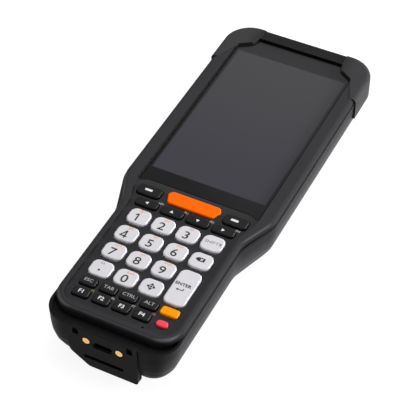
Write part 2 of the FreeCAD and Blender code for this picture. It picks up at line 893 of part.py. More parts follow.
# ---- Inside
def housing_seal():
    ring = prism(inset(front_outline, wall - seal_width), rear_height, front_edge)
    return ring.cut(prism(inset(front_outline, wall), rear_height - 1, front_edge + 1))


def keypad_outline(half_width):
    lower = last_small_y - small_height / 2 - mat_end_margin
    upper = soft_y + soft_height / 2 + key_flange + mat_head_margin
    return rectangle(0, (lower + upper) / 2, 2 * half_width, upper - lower, 2.0)


def keypad_mat(keys):
    mat = prism(keypad_outline(mat_half_width), mat_bottom, mat_top)
    domes = []
    for outline in keys.values():
        x, y = outline_centre(outline)
        domes.append(prism(rectangle(x, y, dome_width, dome_width, 0), mat_top, dome_top))
    return fuse_all(mat, domes)


def keypad_board():
    return prism(keypad_outline(mat_half_width + board_margin), chassis_top, mat_bottom)


def chassis_frame():
    lower = deck_bottom + board_end_margin
    upper = active_top - chassis_overlap
    plate = rectangle(0, (lower + upper) / 2, 2 * chassis_half_width, upper - lower, 3.0)
    chassis = prism(plate, chassis_bottom, chassis_top)
    flange = box(chassis_half_width - chassis_flange, chassis_half_width,
                 battery_end, battery_head, bay_top, chassis_bottom)
    return fuse_all(chassis, both_sides(flange))


def main_board():
    lower = battery_end + board_end_margin
    upper = main_board_head()
    outline = rectangle(0, (lower + upper) / 2, 2 * main_board_half_width, upper - lower, 2.0)
    return prism(outline, main_board_bottom, main_board_top)


def speaker():
    x, y = speaker_place()
    return cylinder(x, y, wall, wall + speaker_height, speaker_radius)


def scan_engine():
    y = engine_back()
    return box(-engine_width / 2, engine_width / 2, y, y + engine_depth,
               engine_floor, engine_floor + engine_height)


def housing_screws():
    screws = []
    for x, y in screw_places:
        shank = cylinder(x, y, screw_head_depth, tongue_bottom + screw_engagement, screw_radius)
        head = cylinder(x, y, screw_head_depth - screw_head_height, screw_head_depth, screw_head_radius)
        screws.append(fuse_all(shank, [head]))
    return Part.makeCompound(screws)


# ---- Battery, door and latch
def battery_pack():
    outline = rectangle(0, (battery_end + battery_head) / 2, battery_width, battery_length, battery_corner)
    return prism(outline, battery_bottom, battery_top)


def battery_contact_block():
    half = contact_block_width / 2
    floor = contact_block_floor()
    front = battery_head + contact_block_gap
    return box(-half, half, front, front + contact_block_depth, floor, floor + contact_block_height)


def pin_cylinder(radius, half_length):
    return Part.makeCylinder(radius, 2 * half_length, Vector(-half_length, hinge_y, hinge_z), Vector(1, 0, 0))


def battery_hinge_pin():
    return pin_cylinder(pin_radius, hinge_half_width + hinge_side_gap + pin_end - pin_end_gap)


def battery_door(outer):
    leaf = outer.common(box(-door_half_width, door_half_width, hinge_y + hinge_setback, door_head,
                            -1, door_thickness))
    neck = box(-hinge_half_width, hinge_half_width, hinge_y, hinge_y + hinge_setback + 1, 0, door_thickness)
    barrel = pin_cylinder(hinge_radius, hinge_half_width)
    door = fuse_all(leaf, [neck, barrel])
    pin_hole = pin_cylinder(pin_radius + pin_clearance, hinge_half_width + 1)
    return cut_all(door, [pin_hole, latch_space()])


# The latch is a plate with side rails in the door's undercut pocket, and a tongue in a slot
# through the door's upper edge.
def latch_front():
    return door_head - latch_tongue_length


def latch_shape(side, face, ends):
    plate_half = latch_half_width + side
    rail_half = latch_half_width + latch_rail + side
    upper = latch_front() + ends
    lower = latch_front() - latch_length - ends
    rail_z = latch_thickness - latch_rail_thickness
    rail_bottom = latch_recess + rail_z - face
    plate = box(-plate_half, plate_half, lower, upper, latch_recess - face, latch_thickness + face)
    rails = box(-rail_half, rail_half, lower, upper, rail_bottom, latch_thickness + face)
    tongue_half = latch_tongue_half_width + side
    tongue = box(-tongue_half, tongue_half, upper - 1, door_head + ends, rail_bottom, latch_thickness + face)
    return plate, rails, tongue


def latch_space():
    plate, rails, tongue = latch_shape(latch_side_clearance, latch_clearance, latch_clearance)
    travel = Vector(0, -latch_travel, 0)
    swept = []
    for shape in (plate, rails):
        moved = shape.copy()
        moved.translate(travel)
        swept += [shape, moved]
    mouth = box(-latch_half_width - latch_side_clearance, latch_half_width + latch_side_clearance,
                latch_front() - latch_length - latch_travel - latch_clearance,
                latch_front() + latch_clearance, -1, latch_mouth_depth)
    return tongue.multiFuse(swept + [mouth])


def battery_latch():
    plate, rails, tongue = latch_shape(0, 0, 0)
    grooves = []
    pitch = latch_length / (latch_grip_count + 1)
    groove_half = latch_half_width - latch_grip_margin
    for index in range(latch_grip_count):
        y = latch_front() - (index + 1) * pitch
        grooves.append(box(-groove_half, groove_half, y - latch_grip_half_width, y + latch_grip_half_width,
                           0, latch_recess + latch_grip_depth))
    return cut_all(fuse_all(plate, [rails, tongue]), grooves)


def build():
    keys = key_layout()
    outer = rear_form(0, rear_height)
    right_bumper = corner_bumper()
    nodes = {"key_" + name: key(outline) for name, outline in keys.items()}
    nodes["front_housing"] = front_housing(keys)
    nodes["rear_housing"] = rear_housing(outer)
    nodes["corner_bumper_right"] = right_bumper
    nodes["corner_bumper_left"] = right_bumper.mirror(Vector(0, 0, 0), Vector(1, 0, 0))
    nodes["housing_seal"] = housing_seal()
    nodes["housing_screws"] = housing_screws()
    nodes["cover_glass"] = cover_glass()
    nodes["display_gasket"] = display_gasket()
    nodes["display_module"] = display_module()
    nodes["keypad_mat"] = keypad_mat(keys)
    nodes["keypad_board"] = keypad_board()
    nodes["chassis_frame"] = chassis_frame()
    nodes["main_board"] = main_board()
    nodes["speaker"] = speaker()
    nodes["scan_engine"] = scan_engine()
    nodes["scan_window"] = scan_window()
    nodes["battery_pack"] = battery_pack()
    nodes["battery_contact_block"] = battery_contact_block()
    nodes["battery_door"] = battery_door(outer)
    nodes["battery_hinge_pin"] = battery_hinge_pin()
    nodes["battery_latch"] = battery_latch()
    nodes["contact_panel"] = contact_panel()
    nodes["charge_contacts"] = charge_contacts()
    nodes["usb_socket"] = usb_socket()
    nodes["io_board"] = io_board()
    return nodes


os.makedirs("parts", exist_ok=True)
for node_name, shape in build().items():
    shape.translate(Vector(0, -middle_y, 0))
    shape.exportStep("parts/" + node_name + ".step")
    print(node_name, "solids", len(shape.Solids), "valid", shape.isValid(), "volume", round(shape.Volume, 1))
print("hinge", 0, round(hinge_y - middle_y, 3), hinge_z, "middle", round(middle_y, 3))
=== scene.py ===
import math
import bpy
from mathutils import Matrix, Vector


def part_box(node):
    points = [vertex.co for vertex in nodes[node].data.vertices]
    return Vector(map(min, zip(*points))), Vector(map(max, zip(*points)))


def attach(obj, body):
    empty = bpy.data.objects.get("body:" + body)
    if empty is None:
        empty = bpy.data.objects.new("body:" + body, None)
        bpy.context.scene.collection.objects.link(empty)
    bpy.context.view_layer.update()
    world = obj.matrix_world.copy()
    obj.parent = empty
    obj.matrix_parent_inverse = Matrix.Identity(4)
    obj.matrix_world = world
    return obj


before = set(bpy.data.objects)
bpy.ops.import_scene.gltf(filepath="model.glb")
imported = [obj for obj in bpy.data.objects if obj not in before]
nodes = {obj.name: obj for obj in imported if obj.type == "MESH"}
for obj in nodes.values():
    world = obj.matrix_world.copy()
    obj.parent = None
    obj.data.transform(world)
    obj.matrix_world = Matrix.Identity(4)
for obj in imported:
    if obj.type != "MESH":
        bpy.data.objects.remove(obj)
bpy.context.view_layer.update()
mm = 0.001
print("frame loaded:", len(nodes), "nodes")


def colour(hexValue):  # sRGB hex to the linear colour that a shader wants
    parts = [int(hexValue[i:i + 2], 16) / 255 for i in (1, 3, 5)]
    return [v / 12.92 if v <= 0.04045 else ((v + 0.055) / 1.055) ** 2.4 for v in parts] + [1.0]


def addNode(tree, kind, settings=None, inputs=None):
    # one node with its settings; each input takes a socket that feeds it, a hex colour or a plain value
    node = tree.nodes.new(kind)
    for name, value in (settings or {}).items():
        setattr(node, name, value)
    for name, value in (inputs or {}).items():
        if isinstance(value, bpy.types.NodeSocket):
            tree.links.new(value, node.inputs[name])
        else:
            node.inputs[name].default_value = colour(value) if isinstance(value, str) else value
    return node


def newMaterial(name):
    material = bpy.data.materials.new(name)
    material.use_nodes = True
    material.node_tree.nodes.clear()
    return material, material.node_tree


def dress(material, *names):  # gives CAD nodes their finish
    for name in names:
        slots = nodes[name].data.materials
        for index in range(len(slots)):
            slots[index] = material


# the camera stands above the keypad end and a little to its right
cameraSettings = {"place": (0.20243, -0.41902, 0.48200), "back": (0.31341, -0.62750, 0.71276),
                  "lens": 136.13, "sensor": 36.0, "clipStart": 0.01}
bpy.ops.object.camera_add(location=cameraSettings["place"])
camera = bpy.context.object
camera.name = "cameraAboveRight"
camera.data.sensor_width = cameraSettings["sensor"]
camera.data.lens = cameraSettings["lens"]
camera.rotation_mode = "QUATERNION"
camera.rotation_quaternion = (-Vector(cameraSettings["back"])).to_track_quat("-Z", "Y")
camera.data.clip_start = cameraSettings["clipStart"]
bpy.context.scene.camera = camera
print("camera placed")


def shellSpot(tree):
    # a point of the shell: where it lies and which way it faces, with both sides taken as one
    texture = addNode(tree, "ShaderNodeTexCoord")
    axes = addNode(tree, "ShaderNodeSeparateXYZ", {}, {"Vector": texture.outputs["Object"]})
    facing = addNode(tree, "ShaderNodeSeparateXYZ", {}, {"Vector": texture.outputs["Normal"]})
    across, aside = (addNode(tree, "ShaderNodeMath", {"operation": "ABSOLUTE"}, {0: signed.outputs["X"]}).outputs[0]
                     for signed in (axes, facing))
    return {"place": texture.outputs["Object"], "across": across, "along": axes.outputs["Y"],
            "height": axes.outputs["Z"], "aside": aside, "endward": facing.outputs["Y"],
            "upward": facing.outputs["Z"]}


def whereAll(tree, masks):
    # 1 where every mask is 1
    both = masks[0]
    for mask in masks[1:]:
        both = addNode(tree, "ShaderNodeMath", {"operation": "MULTIPLY"}, {0: both, 1: mask}).outputs[0]
    return both


# the wall of the glass seat stands this clearance outside the glass; its tone is painted shade
glassLow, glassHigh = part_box("cover_glass")
seatShadeSettings = {"tone": "#040404", "clearance": 0.7, "steepness": 0.5}


def seatWallShade(tree, spot):
    # 1 on the steep faces round the glass, painted black as shade so that the joint looks deep
    reach = seatShadeSettings["clearance"] * mm
    rise = addNode(tree, "ShaderNodeMath", {"operation": "ABSOLUTE"}, {0: spot["upward"]}).outputs[0]
    tests = [("LESS_THAN", spot["across"], glassHigh.x + reach), ("GREATER_THAN", spot["along"], glassLow.y - reach),
             ("LESS_THAN", rise, seatShadeSettings["steepness"]), ("LESS_THAN", spot["along"], glassHigh.y + reach)]
    return whereAll(tree, [addNode(tree, "ShaderNodeMath", {"operation": test}, {0: value, 1: limit}).outputs[0]
                           for test, value, limit in tests])


# painted shade on the bar over the scan window
barShadeSettings = {"tone": "#222223", "halfWidth": 20.8, "from": 92.0}


def scanBarShade(tree, spot):
    # 1 on the bar over the scan window, which is painted darker as shade
    inside = addNode(tree, "ShaderNodeMath", {"operation": "LESS_THAN"},
                     {0: spot["across"], 1: barShadeSettings["halfWidth"] * mm})
    beyond = addNode(tree, "ShaderNodeMath", {"operation": "GREATER_THAN"},
                     {0: spot["along"], 1: barShadeSettings["from"] * mm})
    return whereAll(tree, [inside.outputs[0], beyond.outputs[0]])


# painted shadow of the lip on the ledge below it
ledgeShadeSettings = {"tone": "#19191a", "top": 23.2, "from": -84.0, "to": -88.0, "steep": 0.3, "level": 0.8}


def lipLedgeShade(tree, spot):
    # 1 on the upward ledge below the lip, painted darker as the lip's shadow
    upward = addNode(tree, "ShaderNodeMapRange", {},
                     {"Value": spot["upward"], "From Min": ledgeShadeSettings["steep"],
                      "From Max": ledgeShadeSettings["level"]})
    near = addNode(tree, "ShaderNodeMapRange", {},
                   {"Value": spot["along"], "From Min": ledgeShadeSettings["from"] * mm,
                    "From Max": ledgeShadeSettings["to"] * mm})
    below = addNode(tree, "ShaderNodeMath", {"operation": "LESS_THAN"},
                    {0: spot["height"], 1: ledgeShadeSettings["top"] * mm})
    return whereAll(tree, [upward.outputs[0], near.outputs[0], below.outputs[0]])


# gains for painted light and shade on the sides and a painted highlight on the crests
sideShadeSettings = {"low": 6.0, "high": 19.0, "lowTone": 2.4, "highTone": 0.5, "from": 0.3, "to": 0.85}
crestHighlightSettings = {"towards": (0.36, -0.52, 0.775), "from": 0.88, "to": 0.985, "tone": 3.3, "above": 20.5}


def sideShadeAndCrestHighlight(tree, spot, tone):
    # painted light and shade: the sides are painted paler low down and darker up to the rim
    side = addNode(tree, "ShaderNodeMapRange", {"interpolation_type": "SMOOTHSTEP"},
                   {"Value": spot["aside"], "From Min": sideShadeSettings["from"], "From Max": sideShadeSettings["to"]})
    graded = addNode(tree, "ShaderNodeMapRange", {},
                     {"Value": spot["height"], "From Min": sideShadeSettings["low"] * mm,
                      "From Max": sideShadeSettings["high"] * mm, "To Min": sideShadeSettings["lowTone"],
                      "To Max": sideShadeSettings["highTone"]})
    sideShadeGain = addNode(tree, "ShaderNodeMix", {}, {0: side.outputs[0], 2: 1.0, 3: graded.outputs[0]})
    # painted highlight: the crests that face both aside and to the grip's end are painted paler
    mirrored = addNode(tree, "ShaderNodeCombineXYZ", {}, {0: spot["aside"], 1: spot["endward"], 2: spot["upward"]})
    toCrest = addNode(tree, "ShaderNodeVectorMath", {"operation": "DOT_PRODUCT"},
                      {0: mirrored.outputs[0], 1: crestHighlightSettings["towards"]})
    paintedCrestHighlight = addNode(tree, "ShaderNodeMapRange", {"interpolation_type": "SMOOTHSTEP"},
                     {"Value": toCrest.outputs["Value"], "From Min": crestHighlightSettings["from"],
                      "From Max": crestHighlightSettings["to"], "To Min": 1.0, "To Max": crestHighlightSettings["tone"]})
    above = addNode(tree, "ShaderNodeMath", {"operation": "GREATER_THAN"},
                    {0: spot["height"], 1: crestHighlightSettings["above"] * mm})
    crestHighlightGain = addNode(tree, "ShaderNodeMix", {}, {0: above.outputs[0], 2: 1.0, 3: paintedCrestHighlight.outputs[0]})
    gain = addNode(tree, "ShaderNodeMath", {"operation": "MULTIPLY"},
                   {0: sideShadeGain.outputs[0], 1: crestHighlightGain.outputs[0]})
    return addNode(tree, "ShaderNodeVectorMath", {"operation": "SCALE"},
                   {0: tone.outputs[2], "Scale": gain.outputs[0]}).outputs[0]


# the real grain is near 0.15 mm, drawn three times as coarse so that it shows
housingSettings = {"base": "#323234", "mottle": "#38383a", "flow": 16.0, "grain": 0.45, "roughness": 0.5,
                   "spread": 0.08, "bump": 0.35, "bumpDepth": 0.05, "ior": 1.55, "level": 0.03,
                   "sheen": 0.05, "sheenRoughness": 0.35}


def sparkErodedPlastic(name, settings):
    # polycarbonate-ABS from a spark-eroded mould: a matt charcoal with an even fine grain that breaks up highlights
    material, tree = newMaterial(name)
    spot = shellSpot(tree)
    grain = addNode(tree, "ShaderNodeTexNoise", {},
                    {"Vector": spot["place"], "Scale": 1 / (settings["grain"] * mm), "Detail": 3.0})
    flow = addNode(tree, "ShaderNodeTexNoise", {},
                   {"Vector": spot["place"], "Scale": 1 / (settings["flow"] * mm), "Detail": 2.0})
    tone = addNode(tree, "ShaderNodeMix", {"data_type": "RGBA"},
                   {0: flow.outputs["Fac"], 6: settings["base"], 7: settings["mottle"]})
    # painted shade: the bar over the scan window and the ledge under the lip are painted darker
    for mask, darker in ((scanBarShade(tree, spot), barShadeSettings["tone"]), (lipLedgeShade(tree, spot), ledgeShadeSettings["tone"])):
        tone = addNode(tree, "ShaderNodeMix", {"data_type": "RGBA"}, {0: mask, 6: tone.outputs[2], 7: darker})
    # painted black shade round the glass seat, and painted light and shade on the sides and crests
    paint = addNode(tree, "ShaderNodeMix", {"data_type": "RGBA"},
                    {0: seatWallShade(tree, spot), 6: sideShadeAndCrestHighlight(tree, spot, tone), 7: seatShadeSettings["tone"]})
    spread = addNode(tree, "ShaderNodeMapRange", {},
                     {"Value": grain.outputs["Fac"], "To Min": settings["roughness"] - settings["spread"],
                      "To Max": settings["roughness"] + settings["spread"]})
    bump = addNode(tree, "ShaderNodeBump", {},
                   {"Height": grain.outputs["Fac"], "Strength": settings["bump"],
                    "Distance": settings["bumpDepth"] * mm})
    shader = addNode(tree, "ShaderNodeBsdfPrincipled", {},
                     {"Base Color": paint.outputs[2], "Roughness": spread.outputs[0], "Normal": bump.outputs[0],
                      "IOR": settings["ior"], "Specular IOR Level": settings["level"],
                      "Sheen Weight": settings["sheen"], "Sheen Roughness": settings["sheenRoughness"]})
    addNode(tree, "ShaderNodeOutputMaterial", {}, {"Surface": shader.outputs[0]})
    return material


housingPlastic = sparkErodedPlastic("sparkErodedPolycarbonate", housingSettings)
dress(housingPlastic, "front_housing", "rear_housing", "battery_door", "battery_latch", "contact_panel")

# across the head, painted shade darkens the bumper by the bar: its inner tone turns to the base from innerFrom to
# innerTo
rubberSettings = {"bumper": {"inner": "#1b1b1c", "base": "#2b2b2d", "fleck": "#333335", "grain": 0.6,
                             "roughness": 0.62, "bump": 0.5, "level": 0.14},
                  "silicone": {"inner": "#141415", "base": "#141415", "fleck": "#1c1c1e", "grain": 0.8,
                               "roughness": 0.7, "bump": 0.2, "level": 0.2},
                  "innerFrom": 20.0, "innerTo": 28.0, "bumpDepth": 0.05, "ior": 1.5,
                  "sheen": 0.12, "sheenRoughness": 0.4}


def mouldedRubber(name, settings):
    # thermoplastic rubber: a soft dull surface, a shade paler than the housing, with a powdery bloom
    material, tree = newMaterial(name)
    spot = shellSpot(tree)
    grain = addNode(tree, "ShaderNodeTexNoise", {},
                    {"Vector": spot["place"], "Scale": 1 / (settings["grain"] * mm), "Detail": 4.0, "Roughness": 0.6})
    bloom = addNode(tree, "ShaderNodeMix", {"data_type": "RGBA"},
                    {0: grain.outputs["Fac"], 6: settings["base"], 7: settings["fleck"]})
    # painted shade, darker towards the bar over the scan window
    outward = addNode(tree, "ShaderNodeMapRange", {"interpolation_type": "SMOOTHSTEP"},
                      {"Value": spot["across"], "From Min": rubberSettings["innerFrom"] * mm,
                       "From Max": rubberSettings["innerTo"] * mm})
    shaded = addNode(tree, "ShaderNodeMix", {"data_type": "RGBA"},
                     {0: outward.outputs[0], 6: settings["inner"], 7: bloom.outputs[2]})
    # painted black shade round the glass seat, and painted light and shade on the sides and crests
    paint = addNode(tree, "ShaderNodeMix", {"data_type": "RGBA"},
                    {0: seatWallShade(tree, spot), 6: sideShadeAndCrestHighlight(tree, spot, shaded), 7: seatShadeSettings["tone"]})
    bump = addNode(tree, "ShaderNodeBump", {},
                   {"Height": grain.outputs["Fac"], "Strength": settings["bump"],
                    "Distance": rubberSettings["bumpDepth"] * mm})
    shader = addNode(tree, "ShaderNodeBsdfPrincipled", {},
                     {"Base Color": paint.outputs[2], "Normal": bump.outputs[0], "Roughness": settings["roughness"],
                      "IOR": rubberSettings["ior"], "Specular IOR Level": settings["level"],
                      "Sheen Weight": rubberSettings["sheen"], "Sheen Roughness": rubberSettings["sheenRoughness"]})
    addNode(tree, "ShaderNodeOutputMaterial", {}, {"Surface": shader.outputs[0]})
    return material


dress(mouldedRubber("mouldedBumperRubber", rubberSettings["bumper"]), "corner_bumper_left", "corner_bumper_right")
dress(mouldedRubber("mouldedSilicone", rubberSettings["silicone"]), "housing_seal", "display_gasket", "keypad_mat")

glassSettings = {"borderNear": "#121213", "borderFar": "#2e2e30", "slant": 0.9, "slantFrom": -16.0, "slantTo": 62.0,
                 "screenNear": "#3d3b43", "screenFar": "#434345", "halfWidth": 27.0, "lower": -6.15, "upper": 81.5,
                 "soft": 0.5, "smear": 6.0, "roughness": 0.06, "spread": 0.06, "ior": 1.5, "level": 0.14}


def backPrintedGlass(name, settings):
    # toughened glass with an anti-reflection coating, printed black on its back round a switched-off display:
    # smooth and clear, with weak reflections; the display shows a shade paler than its border, and a painted
    # reflection turns it from a faint violet near the keys to a paler neutral grey at the far end
    material, tree = newMaterial(name)
    place = addNode(tree, "ShaderNodeTexCoord").outputs["Object"]
    axes = addNode(tree, "ShaderNodeSeparateXYZ", {}, {"Vector": place})
    across = addNode(tree, "ShaderNodeMath", {"operation": "ABSOLUTE"}, {0: axes.outputs["X"]})
    half, lower, upper = (settings[key] * mm for key in ("halfWidth", "lower", "upper"))
    fade = settings["soft"] * mm / 2
    edges = [(across.outputs[0], half + fade, half - fade), (axes.outputs["Y"], lower - fade, lower + fade),
             (axes.outputs["Y"], upper + fade, upper - fade)]
    area = whereAll(tree, [addNode(tree, "ShaderNodeMapRange", {},
                                   {"Value": value, "From Min": outer, "From Max": inner}).outputs[0]
                           for value, outer, inner in edges])
    along = addNode(tree, "ShaderNodeMapRange", {"interpolation_type": "SMOOTHSTEP"},
                    {"Value": axes.outputs["Y"], "From Min": lower, "From Max": upper})
    panel = addNode(tree, "ShaderNodeMix", {"data_type": "RGBA"},
                    {0: along.outputs[0], 6: settings["screenNear"], 7: settings["screenFar"]})
    # painted reflection: the black print is painted paler towards the far right and the far end
    slant = addNode(tree, "ShaderNodeMath", {"operation": "MULTIPLY_ADD"},
                    {0: axes.outputs["X"], 1: settings["slant"], 2: axes.outputs["Y"]})
    aslant = addNode(tree, "ShaderNodeMapRange", {},
                     {"Value": slant.outputs[0], "From Min": settings["slantFrom"] * mm,
                      "From Max": settings["slantTo"] * mm})
    border = addNode(tree, "ShaderNodeMix", {"data_type": "RGBA"},
                     {0: aslant.outputs[0], 6: settings["borderNear"], 7: settings["borderFar"]})
    paint = addNode(tree, "ShaderNodeMix", {"data_type": "RGBA"},
                    {0: area, 6: border.outputs[2], 7: panel.outputs[2]})
    # faint wipe marks
    smear = addNode(tree, "ShaderNodeTexNoise", {},
                    {"Vector": place, "Scale": 1 / (settings["smear"] * mm), "Detail": 3.0})
    spread = addNode(tree, "ShaderNodeMapRange", {},
                     {"Value": smear.outputs["Fac"], "To Min": settings["roughness"],
                      "To Max": settings["roughness"] + settings["spread"]})
    shader = addNode(tree, "ShaderNodeBsdfPrincipled", {},
                     {"Base Color": paint.outputs[2], "Roughness": spread.outputs[0], "IOR": settings["ior"],
                      "Specular IOR Level": settings["level"]})
    addNode(tree, "ShaderNodeOutputMaterial", {}, {"Surface": shader.outputs[0]})
    return material


dress(backPrintedGlass("backPrintedGlass", glassSettings), "cover_glass")

keySettings = {"white": {"base": "#dbd9dd", "shade": "#d3d1d6", "level": 0.3, "roughness": 0.38},
               "black": {"base": "#0f0f11", "shade": "#141416", "level": 0.14, "roughness": 0.4},
               "orange": {"base": "#ff6c00", "shade": "#fb6600", "level": 0.05, "roughness": 0.35},
               "amber": {"base": "#ffa000", "shade": "#ff9900", "level": 0.05, "roughness": 0.35},
               "red": {"base": "#fc4a5b", "shade": "#f24153", "level": 0.12, "roughness": 0.35}}
lacquerSettings = {"flow": 5.0, "peel": 0.7, "edge": 0.45, "bump": 0.06, "bumpDepth": 0.05, "ior": 1.5}


def lacqueredKeycap(name, settings):
    # polycarbonate cap with a satin ultraviolet-cured lacquer: even colour, soft broad highlights, rounded edges
    material, tree = newMaterial(name)
    place = addNode(tree, "ShaderNodeTexCoord").outputs["Object"]
    flow = addNode(tree, "ShaderNodeTexNoise", {},
                   {"Vector": place, "Scale": 1 / (lacquerSettings["flow"] * mm), "Detail": 2.0})
    tone = addNode(tree, "ShaderNodeMix", {"data_type": "RGBA"},
                   {0: flow.outputs["Fac"], 6: settings["base"], 7: settings["shade"]})
    peel = addNode(tree, "ShaderNodeTexNoise", {},
                   {"Vector": place, "Scale": 1 / (lacquerSettings["peel"] * mm), "Detail": 1.0})
    edge = addNode(tree, "ShaderNodeBevel", {"samples": 6}, {"Radius": lacquerSettings["edge"] * mm})
    bump = addNode(tree, "ShaderNodeBump", {},
                   {"Height": peel.outputs["Fac"], "Normal": edge.outputs[0], "Strength": lacquerSettings["bump"],
                    "Distance": lacquerSettings["bumpDepth"] * mm})
    shader = addNode(tree, "ShaderNodeBsdfPrincipled", {},
                     {"Base Color": tone.outputs[2], "Normal": bump.outputs[0], "Roughness": settings["roughness"],
                      "IOR": lacquerSettings["ior"], "Specular IOR Level": settings["level"]})
    addNode(tree, "ShaderNodeOutputMaterial", {}, {"Surface": shader.outputs[0]})
    return material


keyFinish = {group + "_key": lacqueredKeycap(group + "LacqueredKeycap", settings)
             for group, settings in keySettings.items()}
for name, node in nodes.items():
    finish = keyFinish.get(node.data.materials[0].name)
    if finish:
        dress(finish, name)
print("housings, glass and keys finished")

metalSettings = {"blackenedSteel": {"base": "#3a3a3c", "roughness": 0.38, "scratch": 0.3, "bump": 0.12},
                 "nickelledSteel": {"base": "#a9a8a4", "roughness": 0.28, "scratch": 0.2, "bump": 0.08},
                 "goldPlatedContact": {"base": "#e6bb7a", "roughness": 0.2, "scratch": 0.6, "bump": 0.03},
                 "stampedMagnesium": {"base": "#8f9092", "roughness": 0.5, "scratch": 0.9, "bump": 0.15},
                 "tinnedSteel": {"base": "#6c6d70", "roughness": 0.45, "scratch": 0.6, "bump": 0.15}}
markSettings = {"smoother": 0.08, "rougher": 0.12, "bumpDepth": 0.03}


def workedMetal(name, settings):
    # bare or plated metal: mirror-like colour, with fine tool and handling marks that blur it
    material, tree = newMaterial(name)
    place = addNode(tree, "ShaderNodeTexCoord").outputs["Object"]
    marks = addNode(tree, "ShaderNodeTexNoise", {},
                    {"Vector": place, "Scale": 1 / (settings["scratch"] * mm), "Detail": 5.0, "Distortion": 0.6})
    spread = addNode(tree, "ShaderNodeMapRange", {},
                     {"Value": marks.outputs["Fac"], "To Min": settings["roughness"] - markSettings["smoother"],
                      "To Max": settings["roughness"] + markSettings["rougher"]})
    bump = addNode(tree, "ShaderNodeBump", {},
                   {"Height": marks.outputs["Fac"], "Strength": settings["bump"],
                    "Distance": markSettings["bumpDepth"] * mm})
    shader = addNode(tree, "ShaderNodeBsdfPrincipled", {},
                     {"Base Color": settings["base"], "Metallic": 1.0, "Roughness": spread.outputs[0],
                      "Normal": bump.outputs[0]})
    addNode(tree, "ShaderNodeOutputMaterial", {}, {"Surface": shader.outputs[0]})
    return material


metals = {name: workedMetal(name, settings) for name, settings in metalSettings.items()}
# the USB socket's shell takes blackened steel as painted shade, so that its slot reads dark
dress(metals["blackenedSteel"], "housing_screws", "battery_hinge_pin", "usb_socket")
dress(metals["goldPlatedContact"], "charge_contacts")
dress(metals["stampedMagnesium"], "chassis_frame")
dress(metals["tinnedSteel"], "display_module")

boardSettings = {"mask": "#0d3a22", "copper": "#15552f", "trace": 2.2, "gap": 0.06, "offset": 0.37, "squash": 1.6,
                 "roughness": 0.3, "ior": 1.55}


def solderMaskBoard(name, settings):
    # glass-epoxy board under green solder mask: glossy, with paler lanes where copper runs under it
    material, tree = newMaterial(name)
    place = addNode(tree, "ShaderNodeTexCoord").outputs["Object"]
    lanes = addNode(tree, "ShaderNodeTexBrick", {"offset": settings["offset"], "squash": settings["squash"]},
                    {"Vector": place, "Scale": 1 / (settings["trace"] * mm), "Mortar Size": settings["gap"],
                     "Color1": settings["mask"], "Color2": settings["mask"], "Mortar": settings["copper"]})
    shader = addNode(tree, "ShaderNodeBsdfPrincipled", {},
                     {"Base Color": lanes.outputs["Color"], "Roughness": settings["roughness"],
                      "IOR": settings["ior"]})
    addNode(tree, "ShaderNodeOutputMaterial", {}, {"Surface": shader.outputs[0]})
    return material


dress(solderMaskBoard("solderMaskBoard", boardSettings), "keypad_board", "main_board", "io_board")

caseSettings = {"base": "#1b1b1d", "grain": 0.7, "smooth": 0.34, "rough": 0.5, "bump": 0.2, "bumpDepth": 0.04,
                "ior": 1.53}


def mouldedCase(name, settings):
    # glass-filled nylon: plain black, a little glossier than the housing, with a coarse even grain
    material, tree = newMaterial(name)
    place = addNode(tree, "ShaderNodeTexCoord").outputs["Object"]
    grain = addNode(tree, "ShaderNodeTexVoronoi", {}, {"Vector": place, "Scale": 1 / (settings["grain"] * mm)})
    spread = addNode(tree, "ShaderNodeMapRange", {},
                     {"Value": grain.outputs["Distance"], "To Min": settings["smooth"], "To Max": settings["rough"]})
    bump = addNode(tree, "ShaderNodeBump", {},
                   {"Height": grain.outputs["Distance"], "Strength": settings["bump"],
                    "Distance": settings["bumpDepth"] * mm})
    shader = addNode(tree, "ShaderNodeBsdfPrincipled", {},
                     {"Base Color": settings["base"], "Roughness": spread.outputs[0], "Normal": bump.outputs[0],
                      "IOR": settings["ior"]})
    addNode(tree, "ShaderNodeOutputMaterial", {}, {"Surface": shader.outputs[0]})
    return material


dress(mouldedCase("mouldedNylonCase", caseSettings), "battery_pack", "scan_engine", "battery_contact_block")

# one wave of the wave texture is 0.314 of a unit long
meshSettings = {"thread": "#2b2b2c", "hole": "#060606", "pitch": 0.8, "wave": 0.314, "bump": 0.5, "bumpDepth": 0.1,
                "roughness": 0.7}


def dustMesh(name, settings):
    # woven acoustic mesh over the speaker: fine black threads that cross at right angles
    material, tree = newMaterial(name)
    place = addNode(tree, "ShaderNodeTexCoord").outputs["Object"]
    across, along = (addNode(tree, "ShaderNodeTexWave", {"bands_direction": direction},
                             {"Vector": place, "Scale": settings["wave"] / (settings["pitch"] * mm)})
                     for direction in ("X", "Y"))
    weave = addNode(tree, "ShaderNodeMath", {"operation": "MAXIMUM"},
                    {0: across.outputs["Fac"], 1: along.outputs["Fac"]})
    tone = addNode(tree, "ShaderNodeMix", {"data_type": "RGBA"},
                   {0: weave.outputs[0], 6: settings["hole"], 7: settings["thread"]})
    bump = addNode(tree, "ShaderNodeBump", {},
                   {"Height": weave.outputs[0], "Strength": settings["bump"], "Distance": settings["bumpDepth"] * mm})
    shader = addNode(tree, "ShaderNodeBsdfPrincipled", {},
                     {"Base Color": tone.outputs[2], "Normal": bump.outputs[0], "Roughness": settings["roughness"]})
    addNode(tree, "ShaderNodeOutputMaterial", {}, {"Surface": shader.outputs[0]})
    return material


dress(dustMesh("wovenDustMesh", meshSettings), "speaker")

acrylicSettings = {"base": "#2a0408", "smear": 4.0, "smooth": 0.02, "rough": 0.08, "ior": 1.49, "clearness": 0.75}


